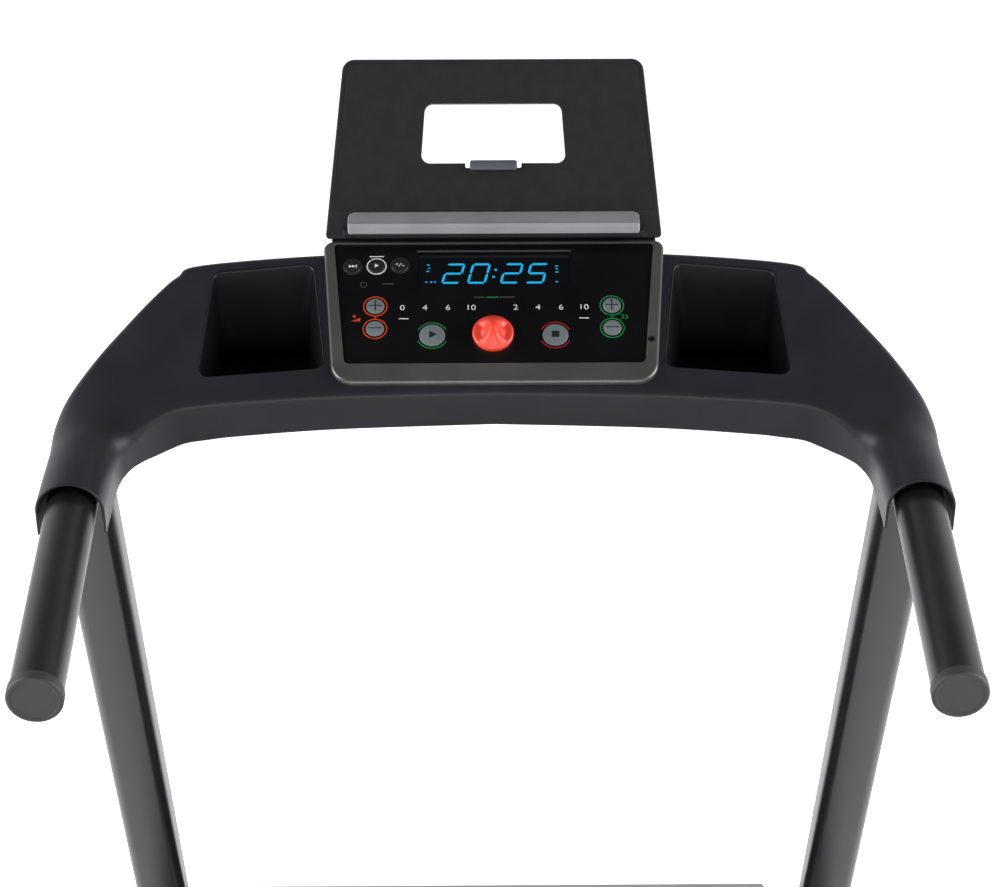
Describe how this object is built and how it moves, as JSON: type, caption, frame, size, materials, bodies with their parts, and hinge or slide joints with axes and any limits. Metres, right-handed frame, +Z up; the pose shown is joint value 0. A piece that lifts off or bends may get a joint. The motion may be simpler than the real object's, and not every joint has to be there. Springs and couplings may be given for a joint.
{
  "type": "folding treadmill",
  "caption": "Home treadmill with a folding deck, powered incline, leaning uprights, straight handlebars, a console with two trays and a tablet holder.",
  "frame": {"origin": "on the floor, under the middle of the object's bounding box", "axes": "+Z up, +Y towards the front of the machine (the motor end), +X to the right of a user standing on the deck and facing the console"},
  "size_m": [0.899, 1.86, 1.4484],
  "materials": {
    "shell_plastic": "moulded ABS with a fine satin grain, charcoal",
    "bezel_metallic": "gunmetal painted plastic, satin metallic",
    "panel_gloss": "black printed overlay, smooth",
    "key_grey": "grey key caps, satin",
    "key_dark": "black small mouldings, satin",
    "clip_grey": "blue-grey moulded clip, satin",
    "safety_red": "red moulded knob, satin",
    "lens_clear": "smoked display window, gloss",
    "circuit_green": "circuit board",
    "soft_mat": "soft foam-rubber mat, matt",
    "ledge_grey": "grey grip ledge, satin",
    "painted_steel": "powder-coated steel tube, satin black",
    "bare_steel": "turned bare steel",
    "rubber_black": "black moulded rubber",
    "belt_black": "black walking belt with a fine diamond grain",
    "wood_board": "phenolic-faced fibreboard",
    "motor_black": "black motor paint"
  },
  "bodies": {
    "base": {"console_top_shell": "shell_plastic", "console_lower_shell": "shell_plastic", "console_support_plate": "painted_steel", "console_bezel": "bezel_metallic", "control_panel": "panel_gloss", "display_window": "lens_clear", "display_board": "circuit_green", "audio_socket": "key_dark", "tablet_holder_back": "shell_plastic", "tablet_mat": "soft_mat", "tablet_ledge": "ledge_grey", "left_upright": "painted_steel", "right_upright": "painted_steel", "left_handlebar": "painted_steel", "right_handlebar": "painted_steel", "left_handlebar_cap": "rubber_black", "right_handlebar_cap": "rubber_black", "left_console_bracket": "painted_steel", "right_console_bracket": "painted_steel", "base_frame": "painted_steel", "left_upright_cover": "shell_plastic", "right_upright_cover": "shell_plastic", "left_front_foot": "rubber_black", "right_front_foot": "rubber_black", "left_rear_foot": "rubber_black", "right_rear_foot": "rubber_black", "incline_motor": "motor_black"},
    "lift_frame": {"lift_frame": "painted_steel"},
    "pivot_shaft": {"pivot_shaft": "bare_steel"},
    "deck": {"deck_frame": "painted_steel", "running_board": "wood_board", "walking_belt": "belt_black", "left_foot_rail": "shell_plastic", "right_foot_rail": "shell_plastic", "left_rear_end_cap": "shell_plastic", "right_rear_end_cap": "shell_plastic", "motor_hood": "shell_plastic", "power_inlet": "key_dark", "belly_pan": "shell_plastic", "drive_motor": "motor_black", "drive_belt": "belt_black", "motor_controller": "motor_black"},
    "incline_screw": {"incline_screw": "bare_steel"},
    "front_roller": {"front_roller": "bare_steel"},
    "rear_roller": {"rear_roller": "bare_steel"},
    "motor_pulley": {"motor_pulley": "bare_steel"},
    "left_transport_wheel": {"left_transport_wheel": "rubber_black"},
    "right_transport_wheel": {"right_transport_wheel": "rubber_black"},
    "safety_key": {"safety_key": "safety_red"},
    "tablet_clip": {"tablet_clip": "clip_grey"},
    "power_switch": {"power_switch": "key_dark"},
    "skip_key": {"skip_key": "key_dark"},
    "display_key": {"display_key": "key_dark"},
    "select_key": {"select_key": "key_dark"},
    "incline_up_key": {"incline_up_key": "key_grey"},
    "incline_down_key": {"incline_down_key": "key_grey"},
    "speed_up_key": {"speed_up_key": "key_grey"},
    "speed_down_key": {"speed_down_key": "key_grey"},
    "start_key": {"start_key": "key_grey"},
    "stop_key": {"stop_key": "key_grey"}
  },
  "joints": [
    {"name": "incline", "type": "hinge", "parent": "base", "child": "lift_frame", "pos_m": [0, 0.35, 0.042], "axis": [1, 0, 0], "range_deg": [0, 20.5]},
    {"name": "deck_level", "type": "hinge", "parent": "lift_frame", "child": "pivot_shaft", "pos_m": [0, 0.82, 0.12], "axis": [1, 0, 0], "range_deg": [-16, 0]},
    {"name": "deck_fold", "type": "hinge", "parent": "pivot_shaft", "child": "deck", "pos_m": [0, 0.82, 0.12], "axis": [-1, 0, 0], "range_deg": [0, 62]},
    {"name": "incline_screw_travel", "type": "slide", "parent": "base", "child": "incline_screw", "axis": [0, -0.9927, 0.1209], "range_m": [0, 0.0175]},
    {"name": "front_roller_spin", "type": "hinge", "parent": "deck", "child": "front_roller", "pos_m": [0, 0.5, 0.1511], "axis": [1, 0, 0], "continuous": true},
    {"name": "rear_roller_spin", "type": "hinge", "parent": "deck", "child": "rear_roller", "pos_m": [0, -0.895, 0.1511], "axis": [1, 0, 0], "continuous": true},
    {"name": "motor_pulley_spin", "type": "hinge", "parent": "deck", "child": "motor_pulley", "pos_m": [0, 0.69, 0.163], "axis": [1, 0, 0], "continuous": true},
    {"name": "left_wheel_spin", "type": "hinge", "parent": "base", "child": "left_transport_wheel", "pos_m": [-0.3603, 0.903, 0.0285], "axis": [1, 0, 0], "continuous": true},
    {"name": "right_wheel_spin", "type": "hinge", "parent": "base", "child": "right_transport_wheel", "pos_m": [0.3603, 0.903, 0.0285], "axis": [1, 0, 0], "continuous": true},
    {"name": "skip_press", "type": "slide", "parent": "base", "child": "skip_key", "axis": [0, 0.373, -0.9278], "range_m": [0, 0.0008], "stiffness_N_per_m": 800, "springref_m": -0.0005},
    {"name": "display_press", "type": "slide", "parent": "base", "child": "display_key", "axis": [0, 0.373, -0.9278], "range_m": [0, 0.0008], "stiffness_N_per_m": 800, "springref_m": -0.0005},
    {"name": "select_press", "type": "slide", "parent": "base", "child": "select_key", "axis": [0, 0.373, -0.9278], "range_m": [0, 0.0008], "stiffness_N_per_m": 800, "springref_m": -0.0005},
    {"name": "incline_up_press", "type": "slide", "parent": "base", "child": "incline_up_key", "axis": [0, 0.373, -0.9278], "range_m": [0, 0.0008], "stiffness_N_per_m": 800, "springref_m": -0.0005},
    {"name": "incline_down_press", "type": "slide", "parent": "base", "child": "incline_down_key", "axis": [0, 0.373, -0.9278], "range_m": [0, 0.0008], "stiffness_N_per_m": 800, "springref_m": -0.0005},
    {"name": "speed_up_press", "type": "slide", "parent": "base", "child": "speed_up_key", "axis": [0, 0.373, -0.9278], "range_m": [0, 0.0008], "stiffness_N_per_m": 800, "springref_m": -0.0005},
    {"name": "speed_down_press", "type": "slide", "parent": "base", "child": "speed_down_key", "axis": [0, 0.373, -0.9278], "range_m": [0, 0.0008], "stiffness_N_per_m": 800, "springref_m": -0.0005},
    {"name": "start_press", "type": "slide", "parent": "base", "child": "start_key", "axis": [0, 0.373, -0.9278], "range_m": [0, 0.0008], "stiffness_N_per_m": 800, "springref_m": -0.0005},
    {"name": "stop_press", "type": "slide", "parent": "base", "child": "stop_key", "axis": [0, 0.373, -0.9278], "range_m": [0, 0.0008], "stiffness_N_per_m": 800, "springref_m": -0.0005},
    {"name": "safety_key_pull", "type": "slide", "parent": "base", "child": "safety_key", "axis": [0, -0.373, 0.9278], "range_m": [0, 0.03]},
    {"name": "tablet_clip_lift", "type": "slide", "parent": "base", "child": "tablet_clip", "axis": [0, 0.5736, 0.8192], "range_m": [0, 0.045], "stiffness_N_per_m": 60, "springref_m": -0.02},
    {"name": "power_switch_rock", "type": "hinge", "parent": "deck", "child": "power_switch", "pos_m": [-0.19, 0.856, 0.17], "axis": [1, 0, 0], "range_deg": [0, 14]}
  ],
  "couplings": [
    {"joint": "deck_level", "follows": "incline", "ratio": -0.744},
    {"joint": "incline_screw_travel", "follows": "incline", "m_per_rad": 0.04756},
    {"joint": "rear_roller_spin", "follows": "front_roller_spin", "ratio": 1},
    {"joint": "motor_pulley_spin", "follows": "front_roller_spin", "ratio": 1.875}
  ]
}
